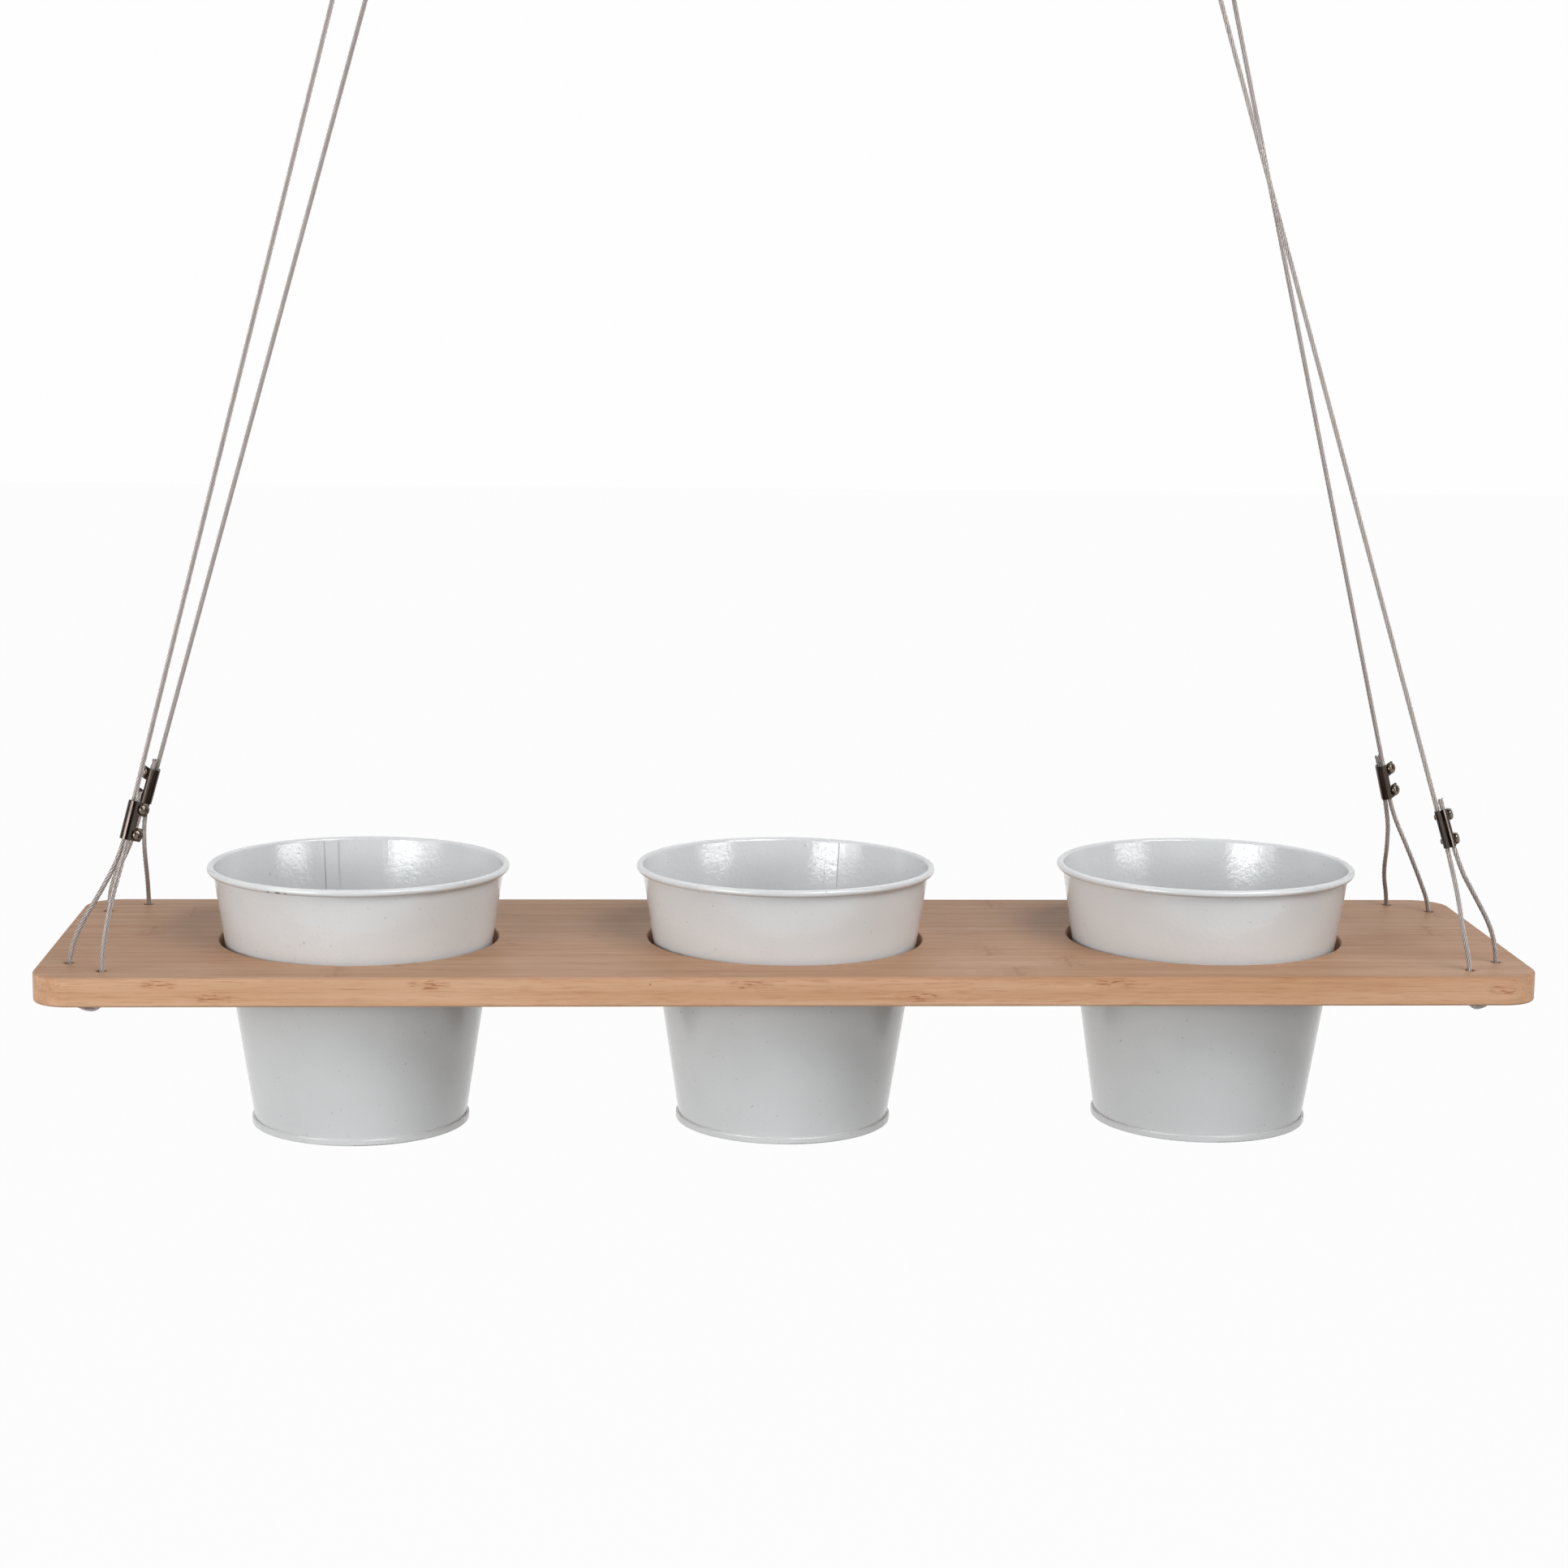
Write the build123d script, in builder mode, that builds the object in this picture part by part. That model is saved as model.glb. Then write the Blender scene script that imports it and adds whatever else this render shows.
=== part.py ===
from build123d import *
from math import cos, pi, radians, sin, tan
import os

# Hanging planter: a bamboo board with three lift-out sheet-steel pots, hung on four wire ropes.
# Millimetres. X runs along the board, Y away from the front edge, Z up.
# The origin is midway between the two hanging rings, at the height where hooks carry them.

os.makedirs("parts", exist_ok=True)

# Clearances
seat_gap = 0.3
part_gap = 0.05
overrun = 2.0

# Board
board_length = 600.0
board_width = 158.0
board_thickness = 12.0
board_corner = 15.0
board_edge = 1.0
pot_inset = 123.0
pocket_gap = 2.0
pocket_edge = 0.8
ledge_thickness = 4.0

# Rope holes in the board: each corner has one near the end and one near the long edge
rope_hole_gap = 0.9
rope_hole_near = 12.0
rope_hole_far = 27.0
rope_hole_edge = 0.3

# Pots
sheet = 0.7
mouth_radius = 59.2
foot_radius = 42.9
rim_rise = 30.0
pot_depth = 107.7
rim_bead_radius = 1.5
rim_curl_angle = -120.0
lap_width = 5.5
hem_height = 1.6
recess_height = 2.4
bead_height = 3.0
bead_round = 0.65
pot_place_shares = {"left": -1, "middle": 0, "right": 1}
lap_angles = {"left": 106.0, "middle": 66.0, "right": -27.0}

# Hanging rings: a straight bar below, which carries two ropes, and a round arch above
ring_height = 30.0
ring_half_width = 14.0
ring_corner = 4.0
ring_wire_radius = 1.5
hang_spread = 332.0
rope_drop = 420.0

# Ropes
rope_radius = 1.0
strand_gap = 0.1
eye_slack = 0.5
tail_length = 4.5
bight_depth = 4.7
bight_gap = 0.2
clamp_exit = 7.0
hole_lead = 2.5
ferrule_drop = 22.0
ferrule_length = 8.0
ferrule_wall = 0.9
eye_taper = 8.0
eye_end = 1.0

# Clamps
clamp_length = 15.5
clamp_sheet = 0.5
flange_margin = 2.45
notch_length = 4.8
notch_floor = 0.4
lug_round = 0.8
screw_inset = 2.65
screw_gap = 0.55
screw_shank_radius = 1.2
screw_head_radius = 2.4
screw_head_height = 1.8
screw_head_round = 1.1
screw_end = 0.8

# Corners: the board's side along X and along Y, and the sides of the clamp's fold and the cut tail
corner_side_shares = {
    "front_left": (-1, -1, 1, 1),
    "rear_left": (-1, 1, -1, 1),
    "front_right": (1, -1, 1, 1),
    "rear_right": (1, 1, 1, -1),
}

# Each rope's place on its ring's bar, its clamp's height along it, the clamp's shift towards the
# hole by the long edge, and the bearing of its screws
eye_places = {"front_left": -7.8, "rear_left": 6.3, "front_right": -5.6, "rear_right": 2.0}
clamp_heights = {"front_left": 60.5, "rear_left": 58.2, "front_right": 58.1, "rear_right": 60.9}
clamp_shifts = {"front_left": 5.1, "rear_left": -5.9, "front_right": 0.5, "rear_right": -0.4}
screw_angles = {"front_left": -45.0, "rear_left": -135.0, "front_right": -18.0, "rear_right": -45.0}

# Bends of a rope: how far its legs to the end hole and to the long edge's hole have spread at two
# heights between clamp and board, and the share of its shorter run that a bend takes
leg_height_shares = (0.64, 0.30)
leg_spread_shares = {
    "front_left": ((0.38, 0.79), (0.57, 0.90)),
    "rear_left": ((0.35, 0.86), (0.05, 0.50)),
    "front_right": ((0.49, 0.89), (0.51, 0.87)),
    "rear_right": ((0.39, 0.78), (0.25, 0.68)),
}
bend_share = 0.45

# Levels and cone
pot_pitch = board_length / 2 - pot_inset
hinge_z = ring_wire_radius - ring_height
arch_z = ring_wire_radius - ring_half_width
board_z = hinge_z - rope_drop
rim_z = board_z + rim_rise
foot_z = rim_z - pot_depth
taper = (mouth_radius - foot_radius) / pot_depth
rope_pitch = 2 * rope_radius + strand_gap
rope_hole_radius = rope_radius + rope_hole_gap
eye_radius = ring_wire_radius + seat_gap + rope_radius
eye_half_width = eye_radius + eye_slack
channel_radius = rope_pitch / 2 + rope_radius + part_gap
fold_radius = channel_radius + clamp_sheet
screw_offset = rope_radius + screw_gap + screw_shank_radius
screw_pitch = clamp_length - 2 * screw_inset
flange_reach = screw_offset + flange_margin

# The turn under the board is as wide as the holes leave room for
bight_room = rope_hole_gap - bight_gap
hole_distance = (rope_hole_far - rope_hole_near) * 2**0.5
bight_radius = min(bight_room + bight_depth + (2 * bight_room * bight_depth) ** 0.5, bend_share * hole_distance)


def wall_inner(z):
    """Radius of a pot's inner face at a height."""
    return foot_radius + taper * (z - foot_z)


def wall_outer(z):
    """Radius of a pot's outer face at a height."""
    return wall_inner(z) + sheet


pocket_radius = wall_outer(board_z) + pocket_gap

# Board with three stepped pockets and eight rope holes
pocket_floor = board_z - board_thickness + ledge_thickness
ledge_bottom = board_z - board_thickness
with BuildPart() as pocket:
    with BuildSketch(Plane.XZ):
        with BuildLine():
            Polyline(
                (0, board_z + overrun),
                (pocket_radius, board_z + overrun),
                (pocket_radius, pocket_floor),
                (wall_outer(pocket_floor) + seat_gap, pocket_floor),
                (wall_outer(ledge_bottom) + seat_gap, ledge_bottom),
                (wall_outer(ledge_bottom) + seat_gap, ledge_bottom - overrun),
                (0, ledge_bottom - overrun),
                close=True,
            )
        make_face()
    revolve(axis=Axis.Z)

rope_holes = [
    (side_x * (board_length / 2 - inset_x), side_y * (board_width / 2 - inset_y))
    for side_x in (-1, 1)
    for side_y in (-1, 1)
    for inset_x, inset_y in ((rope_hole_near, rope_hole_far), (rope_hole_far, rope_hole_near))
]
with BuildPart() as board:
    with BuildSketch(Plane.XY.offset(ledge_bottom)):
        RectangleRounded(board_length, board_width, board_corner)
    extrude(amount=board_thickness)
    fillet(board.faces().filter_by(Axis.Z).edges(), radius=board_edge)
    with Locations(*[(side * pot_pitch, 0) for side in pot_place_shares.values()]):
        add(pocket.part, mode=Mode.SUBTRACT)
    mouths = board.edges().filter_by(GeomType.CIRCLE)
    mouths = mouths.filter_by(lambda edge: abs(edge.radius - pocket_radius) < part_gap)
    fillet(mouths.group_by(Axis.Z)[-1], radius=pocket_edge)
    with BuildSketch(Plane.XY.offset(ledge_bottom - overrun)):
        with Locations(*rope_holes):
            Circle(rope_hole_radius)
    extrude(amount=board_thickness + 2 * overrun, mode=Mode.SUBTRACT)
    eyelets = board.edges().filter_by(GeomType.CIRCLE)
    eyelets = eyelets.filter_by(lambda edge: abs(edge.radius - rope_hole_radius) < part_gap)
    chamfer(eyelets, length=rope_hole_edge)
board.part.label = "shelf_board"
export_step(board.part, "parts/shelf_board.step")

# Pots: a tapered wall with a curled rim, an inside lap seam and a folded foot, and a seamed base
slope = Vector(mouth_radius - foot_radius, pot_depth).normalized()
inward = Vector(-slope.Y, slope.X)
wall_bottom = foot_z + sheet + part_gap
curl_centre = Vector(wall_inner(rim_z), rim_z) - inward * rim_bead_radius
curl_bore = rim_bead_radius - sheet
inward_angle = 180 - Vector(0, 1).get_angle(slope)
hem_top = wall_bottom + hem_height
lap_bottom = foot_z + recess_height + sheet + part_gap


def on_curl(radius, angle):
    """A point of the rim's curl at a radius from its centre and an angle above the outward level."""
    return curl_centre + Vector(radius * cos(radians(angle)), radius * sin(radians(angle)))


for name, side in pot_place_shares.items():
    pot_centre = side * pot_pitch
    pot_plane = Plane.XZ.shift_origin((pot_centre, 0, 0))
    pot_axis = Axis((pot_centre, 0, 0), (0, 0, 1))

    with BuildPart() as lap:
        with BuildSketch(pot_plane):
            with BuildLine():
                Polyline(
                    (wall_inner(lap_bottom) - sheet, lap_bottom),
                    (wall_inner(lap_bottom) + sheet / 2, lap_bottom),
                    (wall_inner(rim_z) + sheet / 2, rim_z),
                    (wall_inner(rim_z) - sheet, rim_z),
                    close=True,
                )
            make_face()
        revolve(axis=pot_axis)
        with BuildSketch(Plane((pot_centre, 0, lap_bottom)).rotated((0, 0, lap_angles[name]))):
            with Locations((mouth_radius, 0)):
                Rectangle(mouth_radius, lap_width)
        extrude(amount=pot_depth, mode=Mode.INTERSECT)

    with BuildPart() as pot_wall:
        with BuildSketch(pot_plane):
            with BuildLine():
                outer_start = on_curl(curl_bore, inward_angle)
                outer_end = on_curl(curl_bore, rim_curl_angle)
                inner_start = on_curl(rim_bead_radius, inward_angle)
                inner_end = on_curl(rim_bead_radius, rim_curl_angle)
                ThreePointArc(inner_start, on_curl(rim_bead_radius, 0), inner_end)
                Line(inner_end, outer_end)
                ThreePointArc(outer_end, on_curl(curl_bore, 0), outer_start)
                Polyline(
                    outer_start,
                    (wall_outer(hem_top), hem_top),
                    (wall_outer(hem_top) + sheet, hem_top),
                    (wall_outer(wall_bottom) + sheet, wall_bottom),
                    (wall_inner(wall_bottom), wall_bottom),
                    inner_start,
                )
            make_face()
        revolve(axis=pot_axis)
        add(lap.part)
    pot_wall.part.label = f"pot_wall_{name}"
    export_step(pot_wall.part, f"parts/pot_wall_{name}.step")

    with BuildPart() as pot_base:
        with BuildSketch(pot_plane) as base_profile:
            with BuildLine():
                disc_bottom = foot_z + recess_height
                disc_top = disc_bottom + sheet
                bead_top = foot_z + bead_height
                bead_outer = wall_outer(foot_z) + 2 * sheet + 2 * part_gap
                Polyline(
                    (0, disc_bottom),
                    (wall_inner(disc_bottom) - part_gap - sheet, disc_bottom),
                    (wall_inner(foot_z) - part_gap - sheet, foot_z),
                    (bead_outer, foot_z),
                    (bead_outer, bead_top),
                    (wall_outer(bead_top) + part_gap, bead_top),
                    (wall_outer(hem_top) + part_gap, hem_top + part_gap),
                    (wall_outer(hem_top) + sheet + part_gap, hem_top + part_gap),
                    (wall_outer(wall_bottom) + sheet + part_gap, foot_z + sheet),
                    (wall_inner(wall_bottom) - part_gap, foot_z + sheet),
                    (wall_inner(disc_top) - part_gap, disc_top),
                    (0, disc_top),
                    close=True,
                )
            make_face()
            lips = base_profile.vertices().group_by(Axis.X)[-1]
            fillet(lips, radius=bead_round)
        revolve(axis=pot_axis)
    pot_base.part.label = f"pot_base_{name}"
    export_step(pot_base.part, f"parts/pot_base_{name}.step")

# Hanging rings: one closed wire ring at each end
for name, side_x in (("left", -1), ("right", 1)):
    bar_middle = Vector(side_x * hang_spread / 2, 0, hinge_z)
    with BuildPart() as ring:
        with BuildLine(Plane.XZ.shift_origin(bar_middle)) as bar_and_arch:
            shoulder = arch_z - hinge_z
            FilletPolyline((0, 0), (ring_half_width, 0), (ring_half_width, shoulder), radius=ring_corner)
            ThreePointArc((ring_half_width, shoulder), (0, ring_height), (-ring_half_width, shoulder))
            FilletPolyline((-ring_half_width, shoulder), (-ring_half_width, 0), (0, 0), radius=ring_corner)
        with BuildSketch(Plane(bar_middle, z_dir=(1, 0, 0))):
            Circle(ring_wire_radius)
        sweep(path=bar_and_arch.line)
    ring.part.label = f"hanging_ring_{name}"
    export_step(ring.part, f"parts/hanging_ring_{name}.step")


class Corner:
    """One corner's hole places, its clamp and ferrule directions and the route of its rope."""

    def __init__(self, name):
        side_x, side_y, self.fold_side, self.tail_side = corner_side_shares[name]
        half_length = board_length / 2
        half_width = board_width / 2
        side_hole = Vector(
            side_x * (half_length - rope_hole_near), side_y * (half_width - rope_hole_far), board_z
        )
        edge_hole = Vector(
            side_x * (half_length - rope_hole_far), side_y * (half_width - rope_hole_near), board_z
        )
        foot = (side_hole + edge_hole) * 0.5
        hang = Vector(side_x * hang_spread / 2 + eye_places[name], 0, hinge_z)
        lean = (hang - foot).normalized()
        bearing = radians(screw_angles[name])
        turn = Vector(cos(bearing), sin(bearing))
        across = (turn - lean * turn.dot(lean)).normalized()
        ringward = Vector(1, 0, 0).cross(lean).normalized() * side_y
        shift = (edge_hole - side_hole).normalized() * clamp_shifts[name]
        low = foot + lean * clamp_heights[name] + shift - across * (self.tail_side * rope_pitch / 2)
        self.rise = (hang + ringward * (rope_pitch / 2) - low).normalized()
        self.across = (across - self.rise * across.dot(self.rise)).normalized()
        self.ringward = Vector(1, 0, 0).cross(self.rise).normalized() * side_y
        self.throat = hang - self.rise * ferrule_drop
        self.clamp = low + self.across * (self.tail_side * rope_pitch / 2)
        self.side_hole = side_hole
        self.edge_hole = edge_hole
        self.side_leg_shares, self.edge_leg_shares = leg_spread_shares[name]

    def channel(self, side, along):
        """A point of one of the two rope lines through the clamp."""
        return self.clamp + self.across * (side * rope_pitch / 2) + self.rise * along

    def leg(self, side, hole, spread_shares):
        """Points of one leg, from below the clamp to just above its hole."""
        top = self.channel(side, -clamp_length / 2 - clamp_exit)
        entry = hole + Vector(0, 0, hole_lead)
        middle = [
            Vector(
                top.X + (entry.X - top.X) * spread,
                top.Y + (entry.Y - top.Y) * spread,
                entry.Z + (top.Z - entry.Z) * level,
            )
            for spread, level in zip(spread_shares, leg_height_shares)
        ]
        return [top, *middle, entry]

    def route(self):
        """Points and radii: cut tail, clamp, leg, turn under the board, leg, clamp, ferrule, eye, ferrule."""
        tail = self.tail_side
        outward = self.across.dot(self.side_hole - self.edge_hole) > 0
        tail_to_side = outward == (tail > 0)
        side_leg = self.leg(tail if tail_to_side else -tail, self.side_hole, self.side_leg_shares)
        edge_leg = self.leg(-tail if tail_to_side else tail, self.edge_hole, self.edge_leg_shares)
        first, last = (side_leg, edge_leg) if tail_to_side else (edge_leg, side_leg)
        holes = [self.side_hole, self.edge_hole] if tail_to_side else [self.edge_hole, self.side_hole]
        turn = [hole - Vector(0, 0, board_thickness + bight_depth) for hole in holes]
        eye_top = ferrule_drop + eye_radius
        eye = [
            self.throat + self.ringward * out + self.rise * up
            for out, up in (
                (rope_pitch / 2, eye_taper),
                (eye_half_width, eye_top),
                (-eye_half_width, eye_top),
                (-rope_pitch / 2, eye_taper),
                (-rope_pitch / 2, -ferrule_length - eye_end),
            )
        ]
        tail_end = self.channel(tail, clamp_length / 2 + tail_length)
        points = [tail_end, *first, *turn, *reversed(last), *eye]
        radii = [widest_bend(*corner) for corner in zip(points, points[1:], points[2:])]
        bight = len(first)
        radii[bight : bight + 2] = [bight_radius, bight_radius]
        radii[-3:-1] = [eye_radius, eye_radius]
        return points, radii


def widest_bend(before, point, after):
    """As large a radius at a corner of a route as the two runs beside it allow."""
    half_turn = (point - before).get_angle(after - point) / 2
    run = min((point - before).length, (after - point).length)
    return bend_share * run / tan(radians(half_turn))


for name in corner_side_shares:
    corner = Corner(name)
    points, radii = corner.route()

    with BuildPart() as rope:
        with BuildLine() as centreline:
            FilletPolyline(*points, radius=radii)
        with BuildSketch(Plane(points[0], z_dir=points[1] - points[0])):
            Circle(rope_radius)
        sweep(path=centreline.line)
    rope.part.label = f"wire_rope_{name}"
    export_step(rope.part, f"parts/wire_rope_{name}.step")
    length = sum(edge.length for edge in centreline.edges())
    section = pi * rope_radius**2
    print(name, "rope length", round(length, 1), "volume", round(rope.part.volume, 1))
    print("  section times length", round(section * length, 1))
    print("  radii", [round(radius, 1) for radius in radii])

    upright = corner.rise * corner.fold_side
    foldward = corner.across.cross(upright)
    section_plane = Plane(corner.clamp, x_dir=foldward, z_dir=upright)
    flange_plane = Plane(corner.clamp, x_dir=foldward, z_dir=corner.across)
    screw_places = [(-screw_offset, side * screw_pitch / 2) for side in (-1, 1)]

    with BuildPart() as clamp:
        with BuildSketch(section_plane):
            with BuildLine():
                Line((-flange_reach, fold_radius), (0, fold_radius))
                ThreePointArc((0, fold_radius), (fold_radius, 0), (0, -fold_radius))
                Polyline(
                    (0, -fold_radius),
                    (-flange_reach, -fold_radius),
                    (-flange_reach, -channel_radius),
                    (0, -channel_radius),
                )
                ThreePointArc((0, -channel_radius), (channel_radius, 0), (0, channel_radius))
                Polyline(
                    (0, channel_radius), (-flange_reach, channel_radius), (-flange_reach, fold_radius)
                )
            make_face()
        extrude(amount=clamp_length / 2, both=True)
        with BuildSketch(flange_plane):
            with Locations((-notch_floor - flange_reach / 2, 0)):
                Rectangle(flange_reach, notch_length)
        extrude(amount=fold_radius + overrun, mode=Mode.SUBTRACT)
        lugs = clamp.edges().filter_by(Axis((0, 0, 0), corner.across))
        fillet(lugs.group_by(Axis(corner.clamp, foldward))[0], radius=lug_round)
        with BuildSketch(flange_plane):
            with Locations(*screw_places):
                Circle(screw_shank_radius + part_gap)
        extrude(amount=fold_radius + overrun, both=True, mode=Mode.SUBTRACT)
    clamp.part.label = f"rope_clamp_{name}"
    export_step(clamp.part, f"parts/rope_clamp_{name}.step")

    with BuildPart() as screws:
        with BuildSketch(flange_plane.offset(fold_radius)):
            with Locations(*screw_places):
                Circle(screw_head_radius)
        extrude(amount=screw_head_height)
        crowns = screws.faces().filter_by(Axis((0, 0, 0), corner.across))
        fillet(crowns.group_by(Axis(corner.clamp, corner.across))[-1].edges(), radius=screw_head_round)
        with BuildSketch(flange_plane.offset(fold_radius)):
            with Locations(*screw_places):
                Circle(screw_shank_radius)
        extrude(amount=-2 * fold_radius - screw_end)
    screws.part.label = f"clamp_screws_{name}"
    export_step(screws.part, f"parts/clamp_screws_{name}.step")

    bore = rope_radius + part_gap
    with BuildPart() as ferrule:
        with BuildSketch(Plane(corner.throat, x_dir=corner.ringward, z_dir=corner.rise)):
            SlotCenterToCenter(rope_pitch, 2 * (bore + ferrule_wall))
            SlotCenterToCenter(rope_pitch, 2 * bore, mode=Mode.SUBTRACT)
        extrude(amount=-ferrule_length)
    ferrule.part.label = f"rope_ferrule_{name}"
    export_step(ferrule.part, f"parts/rope_ferrule_{name}.step")
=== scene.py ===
"""A hanging herb planter: one bamboo board, three coated steel pots, four wire ropes.

Metres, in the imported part's frame. X runs along the board, Y away from the viewer, Z up.
The origin lies midway between the two hanging rings.
"""

import functools
import math

import bpy
import numpy as np
from mathutils import Matrix, Vector


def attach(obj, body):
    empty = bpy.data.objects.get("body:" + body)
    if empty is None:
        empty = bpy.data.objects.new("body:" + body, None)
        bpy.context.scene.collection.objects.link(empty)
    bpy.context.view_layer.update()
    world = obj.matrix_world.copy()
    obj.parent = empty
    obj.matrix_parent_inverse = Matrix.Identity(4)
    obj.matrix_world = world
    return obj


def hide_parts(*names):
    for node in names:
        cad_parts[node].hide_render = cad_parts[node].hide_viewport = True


CORNERS = ("front_left", "rear_left", "front_right", "rear_right")

# The board, its glued strips, and where a corner's two rope holes lie from the board's middle
BOARD_TOP = -0.4485
BOARD_THICKNESS = 0.012
BOARD_WIDTH = 0.158
BOARD_FRONT = -BOARD_WIDTH / 2
STRIP_WIDTH = BOARD_WIDTH / 8
CULM_NODE_SPACING = 0.27
ROPE_HOLES = ((0.273, 0.067), (0.288, 0.052))

# Culm nodes on the board's front edge: place along it, height and half length
FRONT_NODES = (
    (-0.0184, -0.4517, 0.012),
    (0.0493, -0.4567, 0.013),
    (-0.2492, -0.4515, 0.010),
    (-0.2276, -0.4569, 0.011),
    (-0.1452, -0.4517, 0.012),
    (0.1262, -0.4513, 0.012),
    (0.2843, -0.4540, 0.009),
)

# Small dark marks in the bamboo: centre and half sizes
BOARD_MARKS = (
    ((-0.1131, -0.0176, BOARD_TOP), (0.006, 0.0009, 0.002)),
    ((-0.1141, -0.0150, BOARD_TOP), (0.0035, 0.0007, 0.002)),
    ((-0.0794, 0.0002, BOARD_TOP), (0.003, 0.0008, 0.002)),
    ((-0.1414, -0.0652, BOARD_TOP), (0.003, 0.0006, 0.002)),
    ((-0.0578, -0.0790, -0.4514), (0.0007, 0.003, 0.0006)),
    ((0.0167, -0.0627, BOARD_TOP), (0.004, 0.0006, 0.002)),
)

# The pots: heights of their rims and feet, and centre and half sizes of the chips in the left one's rim
POT_RIM = -0.4185
POT_FOOT = -0.5262
RIM_CHIPS = (
    ((-0.2052, -0.0555, -0.4196), (0.0016, 0.003, 0.0006)),
    ((-0.2092, -0.0535, -0.4197), (0.0010, 0.003, 0.0005)),
    ((-0.2020, -0.0568, -0.4198), (0.0008, 0.003, 0.0005)),
)

# The ropes: six strands laid round a core. A strand is drawn as rings of points, one at each step along
# the rope. At the cut tail each falls short by its own millimetres, the core's last, and the lay opens
# by a share that fades over the flare's length
STRAND_CUTS = (0.0, 0.5, 0.15, 0.7, 0.3, 0.9, 0.45)
STRANDS = len(STRAND_CUTS)
STRAND_RADIUS = 0.000335
STRAND_SIDES = 8
STRAND_STEP = 0.00095
LAY_RADIUS = 0.000665
LAY_LENGTH = 0.012
TAIL_FLARE = 0.4
FLARE_LENGTH = 0.0016

# The wires in a strand's outer layer, and their turns for each lay of the rope
WIRES = 7
WIRE_TURNS = 0.35

# Route points of each rope, from its cut tail down through the clamp, under the board,
# back up through the clamp and round its hanging ring
ROPE_ROUTES = {
    "front_left": [
        (-0.25851, -0.05383, -0.37869), (-0.26469, -0.05779, -0.40463), (-0.26871, -0.06304, -0.41952),
        (-0.27129, -0.06608, -0.43359), (-0.27300, -0.06700, -0.44600), (-0.27229, -0.06771, -0.46520),
        (-0.28871, -0.05129, -0.46520), (-0.28800, -0.05200, -0.44600), (-0.28345, -0.05290, -0.43355),
        (-0.27458, -0.05465, -0.41944), (-0.26635, -0.05628, -0.40450), (-0.26230, -0.05377, -0.38804),
        (-0.17995, -0.00277, -0.05363), (-0.17711, -0.00101, -0.04211), (-0.17314, 0.00431, -0.02640),
        (-0.17314, -0.00348, -0.02522), (-0.17711, -0.00309, -0.04179), (-0.18113, -0.00558, -0.05812),
    ],
    "rear_left": [
        (-0.26598, 0.04514, -0.38131), (-0.27361, 0.04861, -0.40698), (-0.27865, 0.04980, -0.42103),
        (-0.28599, 0.05153, -0.43429), (-0.28800, 0.05200, -0.44600), (-0.28871, 0.05129, -0.46520),
        (-0.27229, 0.06771, -0.46520), (-0.27300, 0.06700, -0.44600), (-0.27225, 0.05857, -0.43436),
        (-0.27225, 0.05098, -0.42117), (-0.27190, 0.05013, -0.40720), (-0.26823, 0.04833, -0.39390),
        (-0.16704, 0.00230, -0.05336), (-0.16365, 0.00076, -0.04195), (-0.15891, -0.00426, -0.02637),
        (-0.15891, 0.00354, -0.02531), (-0.16365, 0.00284, -0.04167), (-0.16846, 0.00502, -0.05783),
    ],
    "front_right": [
        (0.26198, -0.05062, -0.38116), (0.26925, -0.05434, -0.40690), (0.27764, -0.05319, -0.42098),
        (0.28534, -0.05226, -0.43427), (0.28800, -0.05200, -0.44600), (0.28871, -0.05129, -0.46520),
        (0.27229, -0.06771, -0.46520), (0.27300, -0.06700, -0.44600), (0.27016, -0.06528, -0.43446),
        (0.26892, -0.06051, -0.42138), (0.26693, -0.05375, -0.40753), (0.26311, -0.05159, -0.39258),
        (0.16739, -0.00254, -0.05343), (0.16417, -0.00089, -0.04200), (0.15965, 0.00429, -0.02639),
        (0.15965, -0.00351, -0.02527), (0.16417, -0.00297, -0.04169), (0.16874, -0.00531, -0.05790),
    ],
    "rear_right": [
        (0.26128, 0.05006, -0.37859), (0.26827, 0.05372, -0.40441), (0.26945, 0.05704, -0.41938),
        (0.26959, 0.06275, -0.43352), (0.27300, 0.06700, -0.44600), (0.27229, 0.06771, -0.46520),
        (0.28871, 0.05129, -0.46520), (0.28800, 0.05200, -0.44600), (0.28298, 0.05204, -0.43347),
        (0.27685, 0.05212, -0.41927), (0.26971, 0.05220, -0.40424), (0.26540, 0.04995, -0.38832),
        (0.17473, 0.00249, -0.05351), (0.17163, 0.00086, -0.04204), (0.16727, -0.00428, -0.02638),
        (0.16727, 0.00352, -0.02527), (0.17163, 0.00294, -0.04174), (0.17603, 0.00524, -0.05800),
    ],
}

# The clamps: middle, direction of the ropes through it, direction in which its screw heads face
# and side of its fold
CLAMPS = {
    "front_left": (
        (-0.262132, -0.054875, -0.390395),
        (0.23652, 0.14649, 0.96052),
        (0.69356, -0.71779, -0.06131),
        1,
    ),
    "rear_left": (
        (-0.268729, 0.047475, -0.393068),
        (0.28246, -0.12850, 0.95063),
        (-0.68053, -0.72528, 0.10417),
        -1,
    ),
    "front_right": (
        (0.264320, -0.052013, -0.393152),
        (-0.26903, 0.13784, 0.95322),
        (0.91198, -0.28179, 0.29814),
        1,
    ),
    "rear_right": (
        (0.265172, 0.050961, -0.390219),
        (-0.25898, -0.13556, 0.95632),
        (0.68724, -0.72158, 0.08382),
        1,
    ),
}

# The screws: their places in a clamp, the turns of their recesses in degrees
SCREW_OFFSET = 0.00275
SCREW_PITCH = 0.0102
SCREW_SEAT = 0.0026
SCREW_TIP = 0.0034
RECESS_TURNS = {
    "front_left": (20, 65),
    "rear_left": (40, 5),
    "front_right": (75, 30),
    "rear_right": (10, 50),
}

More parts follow.
